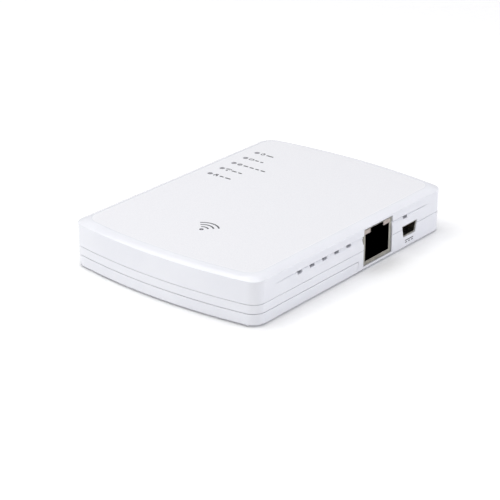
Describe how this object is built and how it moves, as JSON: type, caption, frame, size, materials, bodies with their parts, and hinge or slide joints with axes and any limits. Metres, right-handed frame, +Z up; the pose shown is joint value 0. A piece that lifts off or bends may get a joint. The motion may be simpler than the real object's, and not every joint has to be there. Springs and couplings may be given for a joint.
{
  "type": "pocket wireless router",
  "caption": "Flat pocket wireless router in a white two-shell case with a network socket, a small power inlet, top indicator lights, side vents and a slide-off battery door underneath.",
  "frame": {"origin": "centre of the case's base, on the surface it stands on", "axes": "+X out of the port side, +Y along the length away from the end that the battery door closes, +Z up through the top panel"},
  "size_m": [0.07, 0.0982, 0.015],
  "materials": {
    "case_plastic": "gloss white moulded ABS with a satin top panel",
    "clear_plastic": "frosted clear moulded acrylic",
    "lamp_plastic": "tinted translucent lamp bodies",
    "led_plastic": "small surface-mount lamps",
    "black_plastic": "black moulded nylon",
    "plated_steel": "tin-plated sheet and steel screws",
    "gold_plate": "gold-plated spring contacts",
    "board_laminate": "green solder mask over fibreglass",
    "chip_resin": "black moulded epoxy packages",
    "ferrite": "grey ferrite",
    "tantalum_resin": "ochre moulded resin",
    "ceramic": "tan ceramic with tinned ends",
    "battery_wrap": "dark grey wrapped lithium cell"
  },
  "bodies": {
    "root": {"upper_cover": "case_plastic", "lower_case": "case_plastic", "light_pipe_strip": "clear_plastic", "jack_lamp_windows": "lamp_plastic", "indicator_leds": "led_plastic", "ethernet_jack_housing": "black_plastic", "dc_inlet_insulator": "black_plastic", "battery_contact_block": "black_plastic", "power_switch_body": "black_plastic", "push_switch_body": "black_plastic", "ethernet_jack_shield": "plated_steel", "dc_inlet_shell": "plated_steel", "wireless_shield_can": "plated_steel", "crystal": "plated_steel", "wifi_antennas": "plated_steel", "case_screws": "plated_steel", "board_screws": "plated_steel", "ethernet_jack_contacts": "gold_plate", "dc_inlet_contacts": "gold_plate", "battery_contact_springs": "gold_plate", "battery_terminals": "gold_plate", "main_board": "board_laminate", "processor": "chip_resin", "memory_chip": "chip_resin", "flash_chip": "chip_resin", "wireless_chip": "chip_resin", "ethernet_transformer": "chip_resin", "charger_chip": "chip_resin", "power_inductor": "ferrite", "tantalum_capacitors": "tantalum_resin", "chip_capacitors": "ceramic", "battery_pack": "battery_wrap"},
    "battery_door": {"battery_door": "case_plastic"},
    "power_switch_knob": {"power_switch_knob": "case_plastic"},
    "push_button": {"push_button": "case_plastic"}
  },
  "joints": [
    {"name": "battery_door_slide", "type": "slide", "parent": "root", "child": "battery_door", "axis": [0, -1, 0], "range_m": [0, 0.052]},
    {"name": "power_switch_slide", "type": "slide", "parent": "root", "child": "power_switch_knob", "axis": [0, 1, 0], "range_m": [0, 0.003]},
    {"name": "push_button_press", "type": "slide", "parent": "root", "child": "push_button", "axis": [1, 0, 0], "range_m": [0, 0.0005], "stiffness_N_per_m": 400, "springref_m": -0.0005}
  ]
}
